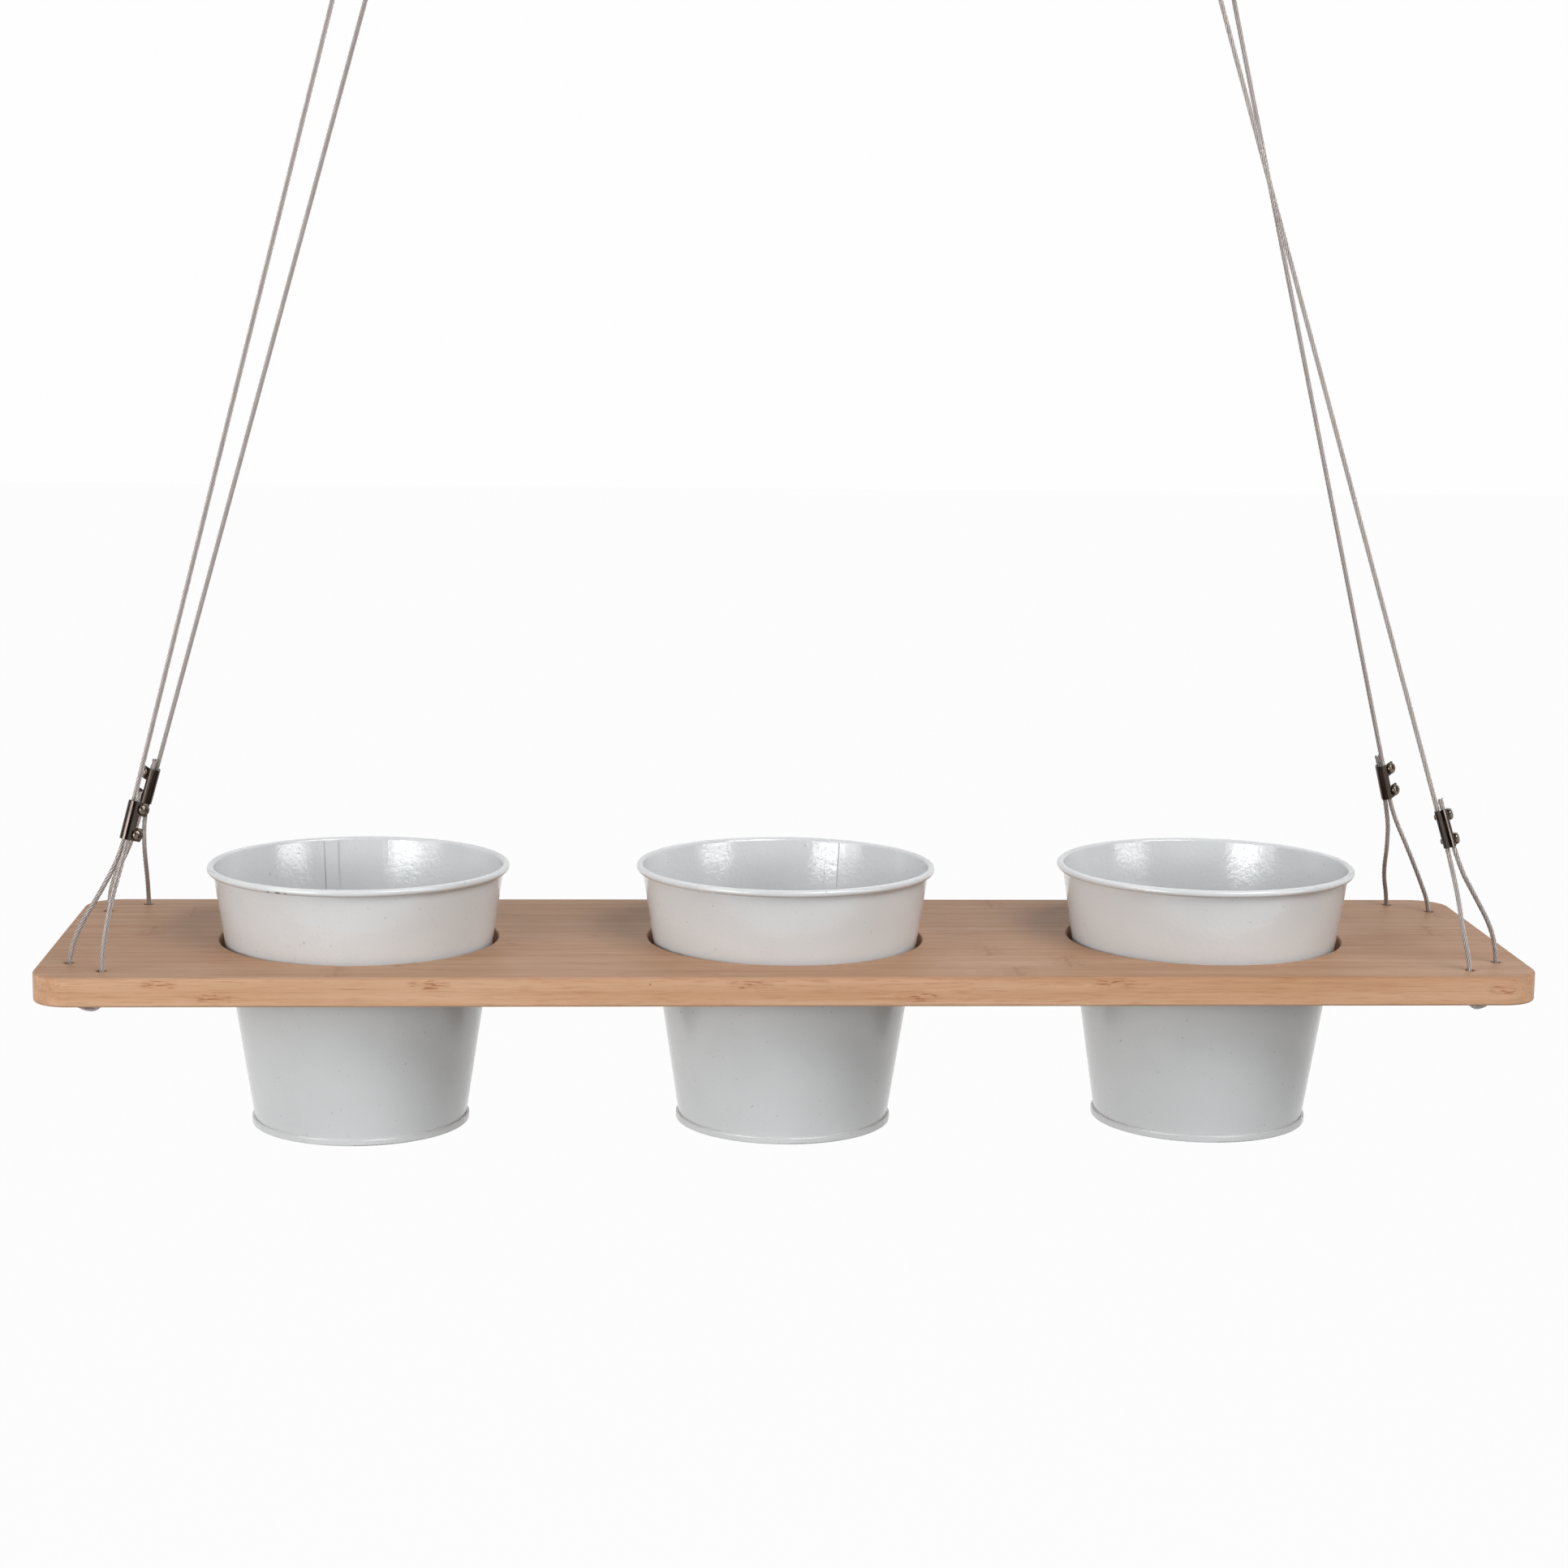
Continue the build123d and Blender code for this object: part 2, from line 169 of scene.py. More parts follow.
# A screw's shape, in millimetres from its seat, and how finely it is drawn
CROWN_HEIGHT = 1.8
CROWN_RADIUS = 1.3
HEAD_BEND = 1.1
HEAD_RADIUS = 2.4
RECESS_DEPTH = 0.75
SHANK_RADIUS = 1.14
THREAD_DEPTH = 0.09
THREAD_PITCH = 0.5
SCREW_SIDES = 64
SHANK_ROWS = 44

# The camera: its place, its turns about the upright, downwards and about its line of sight in radians,
# and its lens in millimetres
CAMERA_PLACE = (-0.081403, -1.280241, -0.178700)
CAMERA_TURNS = (-0.0626321, 0.1587217, 0.0129199)
CAMERA_LENS = 71.711

# The floor, with the share of white glow in its look, and the light of the room, of the backdrop
# and of its dark front half
FLOOR_HEIGHT = -2.2
FLOOR_REACH = 30.0
FLOOR_GLOW = 0.975
ROOM_LIGHT = 0.13
BACKDROP_LIGHT = 0.99
DARK_HALF_LIGHT = 0.06


# ---------------------------------------------------------------- finishes


class Value:
    """One socket of a finish. Sums and products on it add Math nodes."""

    def __init__(self, finish, socket):
        self.finish = finish
        self.socket = socket

    def maths(self, operation, *sockets):
        return self.finish.node("Math", {"operation": operation}, dict(enumerate(sockets)))

    def __add__(self, other):
        return self.maths("ADD", self, other)

    def __sub__(self, other):
        return self.maths("SUBTRACT", self, other)

    def __rsub__(self, other):
        return self.maths("SUBTRACT", other, self)

    def __mul__(self, other):
        return self.maths("MULTIPLY", self, other)

    def __truediv__(self, other):
        return self.maths("DIVIDE", self, other)

    def most(self, other):
        return self.maths("MAXIMUM", self, other)

    def whole(self):
        return self.maths("FLOOR", self)

    def part(self):
        return self.maths("FRACT", self)

    def size(self):
        return self.maths("ABSOLUTE", self)

    def wave(self):
        return self.maths("SINE", self)

    def rise(self, start, end, low=0.0, high=1.0):
        """A smooth step from low at start to high at end."""
        sockets = {0: self, 1: start, 2: end, 3: low, 4: high}
        return self.finish.node("MapRange", {"interpolation_type": "SMOOTHSTEP"}, sockets)


class Finish:
    """One procedural material and the nodes that make it."""

    def __init__(self, name, tree=None):
        if tree is None:
            self.material = bpy.data.materials.new(name)
            self.material.use_nodes = True
            tree = self.material.node_tree
        self.tree = tree
        self.tree.nodes.clear()

    def node(self, kind, settings=None, sockets=None, out=0):
        """Add a node: its settings first, then the values or links of its sockets."""
        made = self.tree.nodes.new("ShaderNode" + kind)
        for name, value in (settings or {}).items():
            setattr(made, name, value)
        for name, value in (sockets or {}).items():
            if isinstance(value, Value):
                self.tree.links.new(value.socket, made.inputs[name])
            else:
                made.inputs[name].default_value = value
        return Value(self, made.outputs[out]) if made.outputs else None

    def place(self):
        return self.node("TexCoord", out="Object")

    def axes(self, vector):
        split = self.node("SeparateXYZ", sockets={0: vector})
        outputs = split.socket.node.outputs
        return tuple(Value(self, outputs[axis]) for axis in range(3))

    def stretched(self, vector, factors):
        return self.node("VectorMath", {"operation": "MULTIPLY"}, {0: vector, 1: factors})

    def moved(self, vector, step):
        return self.node("VectorMath", {"operation": "ADD"}, {0: vector, 1: step})

    def noise(self, vector, scale=1.0, detail=2.0, roughness=0.5, distortion=0.0):
        sockets = {
            "Vector": vector,
            "Scale": scale,
            "Detail": detail,
            "Roughness": roughness,
            "Distortion": distortion,
        }
        return self.node("TexNoise", sockets=sockets)

    def chance(self, value):
        """The same random number from 0 to 1 wherever the value is the same."""
        return self.node("TexWhiteNoise", {"noise_dimensions": "1D"}, {"W": value})

    def mix(self, share, colour, other):
        settings = {"data_type": "RGBA", "clamp_factor": True}
        return self.node("Mix", settings, {0: share, 6: colour, 7: other}, out=2)

    def shaded(self, share, colour, other):
        """Colour times other, by share."""
        settings = {"data_type": "RGBA", "blend_type": "MULTIPLY", "clamp_factor": True}
        return self.node("Mix", settings, {0: share, 6: colour, 7: other}, out=2)

    def bump(self, height, distance, strength):
        sockets = {"Strength": strength, "Distance": distance, "Height": height}
        return self.node("Bump", sockets=sockets)

    def spot(self, vector, centre, radii):
        """1 at a mark's centre, fading to 0 at its edge; radii are its half sizes along X, Y and Z."""
        scaled = self.stretched(self.moved(vector, tuple(-c for c in centre)), tuple(1 / r for r in radii))
        return self.node("VectorMath", {"operation": "LENGTH"}, {0: scaled}, out="Value").rise(1.0, 0.3)

    def spots(self, vector, marks):
        """The strongest of several marks, each given by its centre and radii."""
        return functools.reduce(Value.most, (self.spot(vector, *mark) for mark in marks))

    def surface(self, **sockets):
        named = {name.replace("_", " "): value for name, value in sockets.items()}
        shader = self.node("BsdfPrincipled", sockets=named)
        self.node("OutputMaterial", sockets={"Surface": shader})
        return self.material


def colour(red, green, blue):
    """A colour given as 0 to 255, as the linear light that it stands for."""
    linear = [((c / 255 + 0.055) / 1.055) ** 2.4 if c > 10 else c / 255 / 12.92 for c in (red, green, blue)]
    return (*linear, 1.0)


def bamboo():
    """Eight glued strips along the board, each with its own tint and culm nodes.

    Fine fibres and short red-brown bundles run along them. The front edge shows two layers with culm nodes
    of their own, and the top is darkened a little as painted shade.
    """
    wood = Finish("bamboo")
    place = wood.place()
    x, y, z = wood.axes(place)
    sway = wood.noise(wood.stretched(place, (6, 30, 30)), detail=1.0) - 0.5
    across = (y + BOARD_WIDTH / 2) / STRIP_WIDTH
    strip = across.whole()
    own = wood.chance(strip + 3.7)
    fibres = wood.noise(wood.stretched(place, (16, 950, 950)), detail=3.0, roughness=0.6)
    coarse = wood.noise(wood.stretched(place, (7, 190, 190)), detail=2.0)
    cloud = wood.noise(wood.stretched(place, (9, 22, 22)), detail=1.0)
    short_fibres = wood.noise(wood.stretched(place, (110, 1500, 1500)), detail=2.0)
    bundles = wood.noise(wood.stretched(place, (55, 1900, 1900)), detail=1.0).rise(0.62, 0.74)
    front_nodes = wood.spots(
        place,
        (
            ((sideways, BOARD_FRONT, row), (half_length, 0.004, 0.0028))
            for sideways, row, half_length in FRONT_NODES
        ),
    )
    flecks = wood.noise(wood.stretched(place, (170, 900, 1500)), detail=2.0, distortion=0.35)
    front_flecks = flecks.rise(0.51, 0.62)

    edge_wave = wood.noise(wood.stretched(place, (0, 420, 420)), detail=2.0) - 0.5
    along = (x + own * CULM_NODE_SPACING * 3 + edge_wave * 0.004 + 0.9) / CULM_NODE_SPACING
    from_node = ((along.part() - 0.5) * CULM_NODE_SPACING).size()
    node_line = from_node.rise(0.0016, 0.0002)
    node_band = from_node.rise(0.009, 0.002)
    node_flecks = node_band * wood.noise(wood.stretched(place, (330, 900, 900)), detail=2.0).rise(0.5, 0.66)

    marks = wood.spots(place, BOARD_MARKS)
    for side in (-1, 1):
        for back in (-1, 1):
            for hole in ROPE_HOLES:
                centre = (side * hole[0], back * hole[1], BOARD_TOP)
                marks = marks.most(wood.spot(place, centre, (0.0042, 0.0019, 0.0018)) * 0.9)

    pale = colour(213, 172, 140)
    tan = colour(198, 154, 120)
    red_brown = colour(142, 84, 52)
    on_top = z.rise(BOARD_TOP - 0.0012, BOARD_TOP - 0.0004)
    on_front = y.rise(BOARD_FRONT + 0.0018, BOARD_FRONT + 0.0008)
    base = wood.mix(coarse.rise(0.3, 0.72), pale, tan)
    base = wood.mix(own * 0.16, base, colour(186, 141, 104))
    base = wood.mix(fibres.rise(0.42, 0.72) * 0.24, base, colour(170, 118, 80))
    base = wood.mix(short_fibres.rise(0.5, 0.7) * 0.3, base, colour(176, 118, 82))
    base = wood.mix(cloud.rise(0.45, 0.75) * 0.25, base, colour(222, 188, 156))
    base = wood.mix(bundles * 0.3, base, red_brown)
    base = wood.mix(node_band * (1 - on_front) * 0.08, base, colour(178, 128, 88))
    base = wood.mix((node_line * 0.25).most(node_flecks * 0.3) * (1 - on_front), base, red_brown)
    base = wood.mix(front_nodes * 0.18, base, colour(190, 136, 96))
    base = wood.mix(front_nodes * front_flecks * 0.7, base, red_brown)
    base = wood.mix(marks * 0.6, base, red_brown)
    from_glue = 0.5 - (across.part() - 0.5).size()
    glue = from_glue.rise(0.012, 0.003) * on_top
    base = wood.mix(glue * 0.12, base, colour(150, 104, 70))
    layer = ((z - BOARD_TOP + BOARD_THICKNESS * 0.5 + sway * 0.0004).size()).rise(0.00025, 0.00008)
    base = wood.mix(layer * 0.12, base, colour(150, 104, 70))
    # Painted shade: the whole top face is multiplied darker than the edges
    base = wood.shaded(on_top, base, colour(224, 223, 223))

    height = fibres * 0.6 + coarse * 0.3 - node_line * 0.6 - glue * 0.7
    normal = wood.bump(height, 0.00012, 0.55)
    gloss = fibres.rise(0.3, 0.8, 0.46, 0.6)
    return wood.surface(Base_Color=base, Roughness=gloss, Normal=normal, Specular_IOR_Level=0.15)


def powder_coat():
    """Light grey semi-gloss coat on sheet steel: orange peel, faint clouding, rubbed edges, tiny chips."""
    coat = Finish("powder_coat")
    place = coat.place()
    _, _, z = coat.axes(place)
    peel = coat.noise(place, scale=520, detail=2.0, roughness=0.55)
    fine = coat.noise(place, scale=1500, detail=1.0)
    wave = coat.noise(place, scale=60, detail=2.0)
    cloud = coat.noise(place, scale=22, detail=3.0)
    specks = coat.noise(place, scale=700, detail=1.0).rise(0.74, 0.79)
    rim = z.rise(POT_RIM - 0.0042, POT_RIM - 0.0015)
    foot = z.rise(POT_FOOT + 0.0042, POT_FOOT + 0.001)
    edge = rim.most(foot)
    worn = edge * coat.noise(coat.stretched(place, (260, 260, 600)), detail=3.0).rise(0.6, 0.72)
    chips = coat.spots(place, RIM_CHIPS)
    base = coat.mix(cloud.rise(0.35, 0.7), colour(217, 219, 220), colour(212, 214, 215))
    base = coat.mix(specks * 0.35, base, colour(122, 120, 116))
    base = coat.mix(worn * 0.12, base, colour(150, 149, 147))
    base = coat.mix(chips * 0.8, base, colour(96, 94, 90))
    height = peel + fine * 0.3 + wave * 1.1 + specks * 0.6 - chips * 1.2
    normal = coat.bump(height, 0.00012, 0.8)
    roughness = peel.rise(0.3, 0.7, 0.11, 0.18) + worn * 0.2
    return coat.surface(Base_Color=base, Roughness=roughness, Normal=normal, Specular_IOR_Level=0.8)


def wire():
    """Bright drawn wires, turned against their strand's lay, with painted shade in the valleys between
    strands and between wires.
    """
    steel = Finish("stainless_rope")
    u, v, _ = steel.axes(steel.node("UVMap", {"uv_map": "lay"}))
    around = u * (2 * math.pi)
    wires = ((u * WIRES + v * WIRES * WIRE_TURNS) * (2 * math.pi)).wave()
    outward = (around + math.pi / 2).wave()
    grime = steel.noise(steel.place(), scale=260, detail=3.0)
    # Painted shade: each strand is darker on its side towards the core, and darker again in the grooves
    # between its wires
    base = steel.mix(outward.rise(0.8, -0.3), colour(204, 195, 191), colour(78, 72, 69))
    base = steel.mix(wires.rise(0.2, -0.9) * 0.4, base, colour(108, 100, 96))
    base = steel.mix(grime.rise(0.5, 0.75) * 0.25, base, colour(158, 148, 140))
    normal = steel.bump(wires, 0.00005, 0.7)
    roughness = grime.rise(0.3, 0.7, 0.3, 0.44)
    return steel.surface(Base_Color=base, Roughness=roughness, Metallic=0.55, Normal=normal)


def plated(name, tone, smooth, brushed):
    """Plated metal: fine scratches along the piece, faint mottling and duller rubbed patches."""
    metal = Finish(name)
    place = metal.place()
    mottle = metal.noise(place, scale=170, detail=3.0)
    scratches = metal.noise(metal.stretched(place, brushed), detail=3.0, roughness=0.7)
    stains = metal.noise(place, scale=420, detail=2.0).rise(0.62, 0.76)
    base = metal.mix(mottle.rise(0.35, 0.7) * 0.3, colour(*tone), colour(*(c * 0.82 for c in tone)))
    base = metal.mix(stains * 0.25, base, colour(120, 108, 92))
    normal = metal.bump(scratches * 0.5 + mottle * 0.8, 0.00005, 0.45)
    roughness = mottle.rise(0.3, 0.75, smooth, smooth + 0.12) + stains * 0.14
    return metal.surface(Base_Color=base, Roughness=roughness, Metallic=1.0, Normal=normal)


# ---------------------------------------------------------------- surfaces


def unit(vectors):
    return vectors / np.linalg.norm(vectors, axis=-1, keepdims=True)


def new_piece(name, points, faces, finish, smooth=True):
    mesh = bpy.data.meshes.new(name)
    mesh.from_pydata(points.reshape(-1, 3).tolist(), [], faces)
    mesh.materials.append(finish)
    mesh.polygons.foreach_set("use_smooth", [smooth] * len(mesh.polygons))
    piece = bpy.data.objects.new(name, mesh)
    bpy.context.scene.collection.objects.link(piece)
    return piece


def read_line(name, route):
    """The smooth line of a rope: a NURBS spline with the route's points as its control points."""
    curve = bpy.data.curves.new(name, "CURVE")
    curve.dimensions = "3D"
    spline = curve.splines.new("NURBS")
    spline.points.add(len(route) - 1)
    for point, place in zip(spline.points, route):
        point.co = (*place, 1)
    spline.order_u = 3
    spline.use_endpoint_u = True
    spline.resolution_u = 64
    holder = bpy.data.objects.new(name, curve)
    read = bpy.data.meshes.new_from_object(holder)
    line = np.array([vertex.co for vertex in read.vertices])
    bpy.data.objects.remove(holder)
    bpy.data.curves.remove(curve)
    bpy.data.meshes.remove(read)
    return line


def wire_rope(name, route, finish):
    """A rope of six strands round a core.

    Each strand's middle is the line's point plus the lay radius times (cosine of the turn along one side
    direction plus sine of the turn along the other), and the turn is one circle for each lay length, a sixth
    on for each strand. Round it, a circle of the strand's radius is carried square to the strand. At the cut
    tail the lay radius opens and the strands end unevenly.
    """
    line = read_line(name, route)
    run = np.r_[0, np.cumsum(np.linalg.norm(np.diff(line, axis=0), axis=1))]
    length = run[-1]
    samples = int(length / STRAND_STEP)
    cuts = np.array(STRAND_CUTS)[:, None] * 0.001
    along = cuts + (length - cuts) * np.linspace(0, 1, samples)
    middle = np.stack([np.interp(along, run, line[:, axis]) for axis in range(3)], axis=-1)
    tangent = unit(np.gradient(middle, axis=1))
    # A level direction that no stretch of this corner's rope is parallel to
    lean = math.copysign(math.pi / 8, route[0][0] * route[0][1])
    aside = np.array([math.cos(lean), math.sin(lean), 0])
    side = unit(aside - tangent * (tangent @ aside)[..., None])
    up = np.cross(tangent, side)
    strand = np.arange(STRANDS)[:, None]
    turn = 2 * math.pi * (along / LAY_LENGTH + strand / (STRANDS - 1))[..., None]
    flare = 1 + TAIL_FLARE * np.exp(-along / FLARE_LENGTH)
    lay = LAY_RADIUS * flare * (strand < STRANDS - 1)
    outward = np.cos(turn) * side + np.sin(turn) * up
    middle = middle + lay[..., None] * outward
    tangent = unit(np.gradient(middle, axis=1))
    outward = unit(outward - tangent * (outward * tangent).sum(-1, keepdims=True))
    aside = np.cross(tangent, outward)
    angle = np.arange(STRAND_SIDES) * 2 * math.pi / STRAND_SIDES
    ring = np.cos(angle)[:, None] * outward[:, :, None] + np.sin(angle)[:, None] * aside[:, :, None]
    points = middle[:, :, None] + STRAND_RADIUS * ring
    tips = middle[:, [0, -1]] + tangent[:, [0, -1]] * np.array([-0.4, 0.4])[:, None] * STRAND_RADIUS
    index = np.arange(STRANDS * samples * STRAND_SIDES).reshape(STRANDS, samples, STRAND_SIDES)
    following = np.roll(index, -1, axis=2)
    quads = np.stack([index[:, :-1], following[:, :-1], following[:, 1:], index[:, 1:]], axis=-1)
    tip = index.size + np.arange(2 * STRANDS).reshape(STRANDS, 2, 1) + np.zeros(STRAND_SIDES, int)
    starts = np.stack([tip[:, 0], following[:, 0], index[:, 0]], axis=-1).reshape(-1, 3)
    ends = np.stack([tip[:, 1], index[:, -1], following[:, -1]], axis=-1).reshape(-1, 3)
    everything = np.concatenate([points.reshape(-1, 3), tips.reshape(-1, 3)])
    faces = quads.reshape(-1, 4).tolist() + starts.tolist() + ends.tolist()
    piece = new_piece(name, everything, faces, finish)

    shape = (STRANDS, samples - 1, STRAND_SIDES)
    column = np.arange(STRAND_SIDES) / STRAND_SIDES
    near = np.broadcast_to(column, shape)
    far = np.broadcast_to(column + 1 / STRAND_SIDES, shape)
    low = np.broadcast_to(along[:, :-1, None] / LAY_LENGTH, shape)
    high = np.broadcast_to(along[:, 1:, None] / LAY_LENGTH, shape)
    corners = [np.stack(pair, -1) for pair in ((near, low), (far, low), (far, high), (near, high))]
    lays = np.stack(corners, axis=-2).reshape(-1, 2)
    caps = np.full((2 * STRANDS * STRAND_SIDES * 3, 2), 0.5)
    lay_map = piece.data.uv_layers.new(name="lay")
    lay_map.data.foreach_set("uv", np.concatenate([lays, caps]).ravel())
    return piece, line


def turned_faces(rows, columns):
    """Faces of a turned surface whose first and last rows are single points."""
    index = 1 + np.arange((rows - 2) * columns).reshape(rows - 2, columns)
    following = np.roll(index, -1, axis=1)
    quads = np.stack([index[:-1], index[1:], following[1:], following[:-1]], axis=-1).reshape(-1, 4)
    last = 1 + index.size
    top = np.stack([np.zeros(columns, int), index[0], following[0]], axis=-1)
    bottom = np.stack([np.full(columns, last), following[-1], index[-1]], axis=-1)
    return quads.tolist() + top.tolist() + bottom.tolist()


def screw_points(seat, axis, upright, turn):
    """A pan-head screw as one turned surface.

    The profile of (distance out, height), in millimetres, runs from the middle of the crown over the head's
    round edge and under it, then down the shank to the tip. The cross recess lowers the crown where a point
    lies inside one of two arms, and the thread moves the shank out and in as a wave of its height plus its
    turn.
    """
    crown = np.linspace(0.06, CROWN_RADIUS, 15)
    bend = np.linspace(0, math.pi / 2, 8)[1:]
    drop = 0.22 * (crown / CROWN_RADIUS) ** 2
    shank = np.linspace(-0.05, -(SCREW_SEAT + SCREW_TIP) * 1000 + 0.35, SHANK_ROWS)
    round_edge = CROWN_RADIUS + HEAD_BEND * np.sin(bend)
    shank_out = np.full(SHANK_ROWS, SHANK_RADIUS)
    out = np.r_[0, crown, round_edge, HEAD_RADIUS, 2.32, 1.25, shank_out, 0.8, 0]
    edge_high = 0.48 + HEAD_BEND * np.cos(bend)
    tip_high = (shank[-1] - 0.3, shank[-1] - 0.35)
    high = np.r_[CROWN_HEIGHT, CROWN_HEIGHT - drop, edge_high, 0.1, 0, 0, shank, tip_high]
    theta = np.linspace(0, 2 * math.pi, SCREW_SIDES, endpoint=False)
    out_grid = np.repeat(out[:, None], SCREW_SIDES, axis=1)
    high_grid = np.repeat(high[:, None], SCREW_SIDES, axis=1)
    a, b = out_grid * np.cos(theta + turn), out_grid * np.sin(theta + turn)

    def arm(width, length):
        """1 inside one arm of the recess, falling to 0 over its slanting walls."""
        return np.clip((0.3 - abs(width)) / 0.1, 0, 1) * np.clip((1.15 - abs(length)) / 0.3, 0, 1)

    head = high_grid > 0.6
    high_grid -= RECESS_DEPTH * np.maximum(arm(a, b), arm(b, a)) * head
    threaded = (high_grid < -0.1) & (high_grid > shank[-1])
    out_grid += THREAD_DEPTH * np.sin(2 * math.pi * high_grid / THREAD_PITCH + theta) * threaded
    first = unit(np.array(upright) - np.array(axis) * np.dot(upright, axis))
    second = np.cross(axis, first)
    points = (
        np.array(seat)
        + 0.001 * (out_grid * np.cos(theta))[..., None] * first
        + 0.001 * (out_grid * np.sin(theta))[..., None] * second
        + 0.001 * high_grid[..., None] * np.array(axis)
    )
    points = np.concatenate([points[:1, 0], points[1:-1].reshape(-1, 3), points[-1:, 0]])
    return points, turned_faces(len(out), SCREW_SIDES)


def clamp_screws(corner, finish):
    """Both screws of one clamp, set through its flange beside the two ropes."""
    middle, ropes, facing, fold = (np.array(part) for part in CLAMPS[corner])
    facing = unit(facing)
    upright = unit(ropes * fold)
    foldward = np.cross(facing, upright)
    points, faces = [], []
    for end, turn in zip((-0.5, 0.5), RECESS_TURNS[corner]):
        seat = middle - foldward * SCREW_OFFSET + upright * end * SCREW_PITCH + facing * SCREW_SEAT
        screw, turned = screw_points(seat, facing, upright, math.radians(turn))
        start = sum(len(part) for part in points)
        faces += [[corner_index + start for corner_index in face] for face in turned]
        points.append(screw)
    return new_piece(f"pan_head_screws_{corner}", np.concatenate(points), faces, finish)


# ---------------------------------------------------------------- scene

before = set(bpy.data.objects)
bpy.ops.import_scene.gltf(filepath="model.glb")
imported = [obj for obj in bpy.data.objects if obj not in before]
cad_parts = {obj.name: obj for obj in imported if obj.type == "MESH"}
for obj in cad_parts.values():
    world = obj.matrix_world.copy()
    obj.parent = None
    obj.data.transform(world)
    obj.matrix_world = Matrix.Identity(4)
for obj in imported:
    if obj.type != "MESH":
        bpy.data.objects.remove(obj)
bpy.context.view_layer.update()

camera_data = bpy.data.cameras.new("camera")
camera_data.sensor_width = 36
camera_data.lens = CAMERA_LENS
camera_data.clip_end = 200
camera = bpy.data.objects.new("camera", camera_data)
yaw, pitch, roll = CAMERA_TURNS
forward = Vector((-math.sin(yaw) * math.cos(pitch), math.cos(yaw) * math.cos(pitch), -math.sin(pitch)))
level = Vector((math.cos(yaw), math.sin(yaw), 0))
raised = level.cross(forward)
right = level * math.cos(roll) + raised * math.sin(roll)
above = raised * math.cos(roll) - level * math.sin(roll)
turned = Matrix((right, above, -forward)).transposed().to_4x4()
camera.matrix_world = Matrix.Translation(CAMERA_PLACE) @ turned
bpy.context.scene.collection.objects.link(camera)
bpy.context.scene.camera = camera

rope_finish = wire()
for corner in CORNERS:
    rope, line = wire_rope(f"stranded_rope_{corner}", ROPE_ROUTES[corner], rope_finish)
    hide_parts(f"wire_rope_{corner}")
    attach(rope, "shelf")

screw_finish = plated("nickel_screws", (118, 107, 98), 0.12, (900, 900, 300))
for corner in CORNERS:
    screws = clamp_screws(corner, screw_finish)
    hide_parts(f"clamp_screws_{corner}")
    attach(screws, "shelf")

node_finishes = {
    "shelf_board": bamboo(),
    "pot": powder_coat(),
    "rope_clamp": plated("dark_nickel_clamps", (80, 72, 67), 0.1, (700, 700, 160)),
    "rope_ferrule": plated("pressed_aluminium", (200, 201, 204), 0.34, (500, 500, 1200)),
    "hanging_ring": plated("ring_wire", (205, 204, 202), 0.18, (600, 900, 900)),
}
for name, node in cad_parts.items():
    for start, finish in node_finishes.items():
        if name.startswith(start):
            for slot in node.material_slots:
                slot.material = finish

# Floor, backdrop light and lamps


def backdrop_light(finish):
    """Two values: 1 for rays that show the backdrop itself, and 1 for mirrored ones among them.

    The backdrop shows to the camera's rays, to mirrored ones and to those through glass.
    """
    path = finish.node("LightPath").socket.node.outputs
    rays = [Value(finish, path[name]) for name in ("Is Camera Ray", "Is Glossy Ray", "Is Transmission Ray")]
    return rays[0].most(rays[1]).most(rays[2]), rays[1]


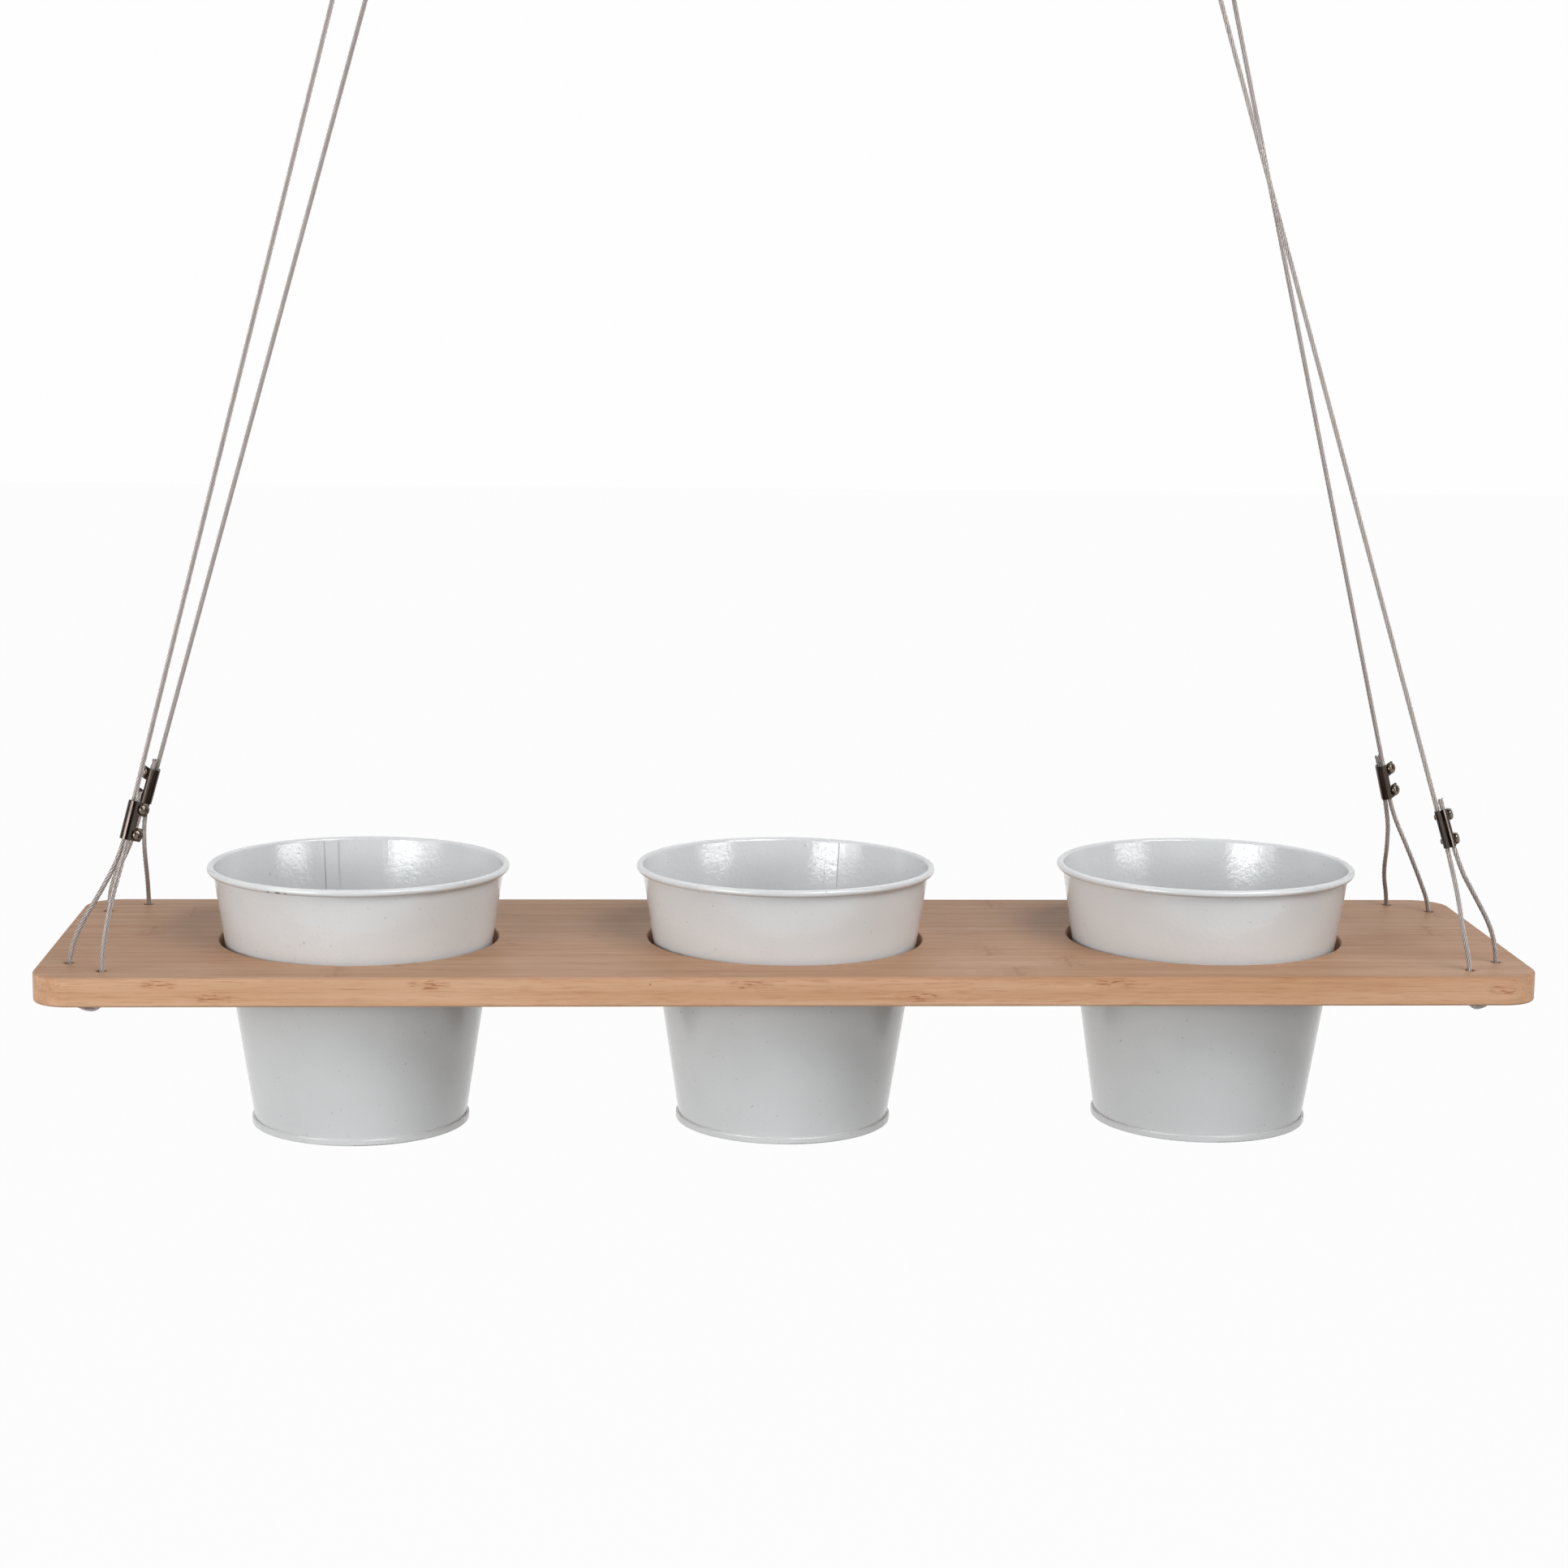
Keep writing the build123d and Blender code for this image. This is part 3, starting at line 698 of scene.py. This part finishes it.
floor_finish = Finish("pale_floor")
seen, _ = backdrop_light(floor_finish)
matt = floor_finish.node("BsdfDiffuse", sockets={"Color": (0.86, 0.86, 0.86, 1), "Roughness": 0.0})
white = floor_finish.node("Emission", sockets={"Color": (1, 1, 1, 1), "Strength": 1.0})
both = floor_finish.node("MixShader", sockets={0: seen * FLOOR_GLOW, 1: matt, 2: white})
floor_finish.node("OutputMaterial", sockets={"Surface": both})
floor_points = np.array([(-1, -1, 0), (1, -1, 0), (1, 1, 0), (-1, 1, 0)]) * FLOOR_REACH + (0, 0, FLOOR_HEIGHT)
floor = new_piece("floor", floor_points, [(0, 1, 2, 3)], floor_finish.material, smooth=False)

world = bpy.data.worlds.new("studio")
bpy.context.scene.world = world
world.use_nodes = True
studio = Finish("studio", world.node_tree)
seen, mirrored = backdrop_light(studio)
_, behind, _ = studio.axes(studio.node("TexCoord", out="Generated"))
room, shown, dark_half = (
    studio.node("Background", sockets={"Color": (1, 1, 1, 1), "Strength": strength})
    for strength in (ROOM_LIGHT, BACKDROP_LIGHT, DARK_HALF_LIGHT)
)
towards_back = behind.rise(-0.2, 0.35)
mirrored_room = studio.node("MixShader", sockets={0: towards_back, 1: dark_half, 2: shown})
direct = studio.node("MixShader", sockets={0: mirrored, 1: shown, 2: mirrored_room})
everything = studio.node("MixShader", sockets={0: seen, 1: room, 2: direct})
studio.node("OutputWorld", sockets={"Surface": everything})


def softbox(name, aside, raised, distance, width, height, power):
    """A lamp that faces the board's middle and doesn't show itself.

    It stands aside degrees to the right of the board's front and raised degrees above the board.
    """
    lamp = bpy.data.lights.new(name, "AREA")
    lamp.shape = "RECTANGLE"
    lamp.size, lamp.size_y = width, height
    lamp.energy = power
    holder = bpy.data.objects.new(name, lamp)
    aside, raised = math.radians(aside), math.radians(raised)
    level = math.cos(raised)
    towards = Vector((math.sin(aside) * level, -math.cos(aside) * level, math.sin(raised)))
    facing = towards.to_track_quat("Z", "Y").to_matrix().to_4x4()
    holder.matrix_world = Matrix.Translation(Vector((0, 0, BOARD_TOP)) + towards * distance) @ facing
    holder.visible_camera = False
    bpy.context.scene.collection.objects.link(holder)


softbox("left_softbox", -52, 9, 1.6, 1.0, 1.0, 11)
softbox("left_window", -40, 9, 1.7, 0.8, 0.28, 5.2)
softbox("right_window", 59, 9, 1.7, 0.8, 0.28, 4.8)
softbox("right_high_softbox", 38, 45, 1.6, 1.0, 0.8, 16)
softbox("left_high_softbox", -70, 50, 1.6, 0.8, 0.8, 3)
softbox("rear_softbox", 170, 40, 1.6, 1.2, 0.6, 2)

bpy.context.scene.view_settings.view_transform = "Standard"
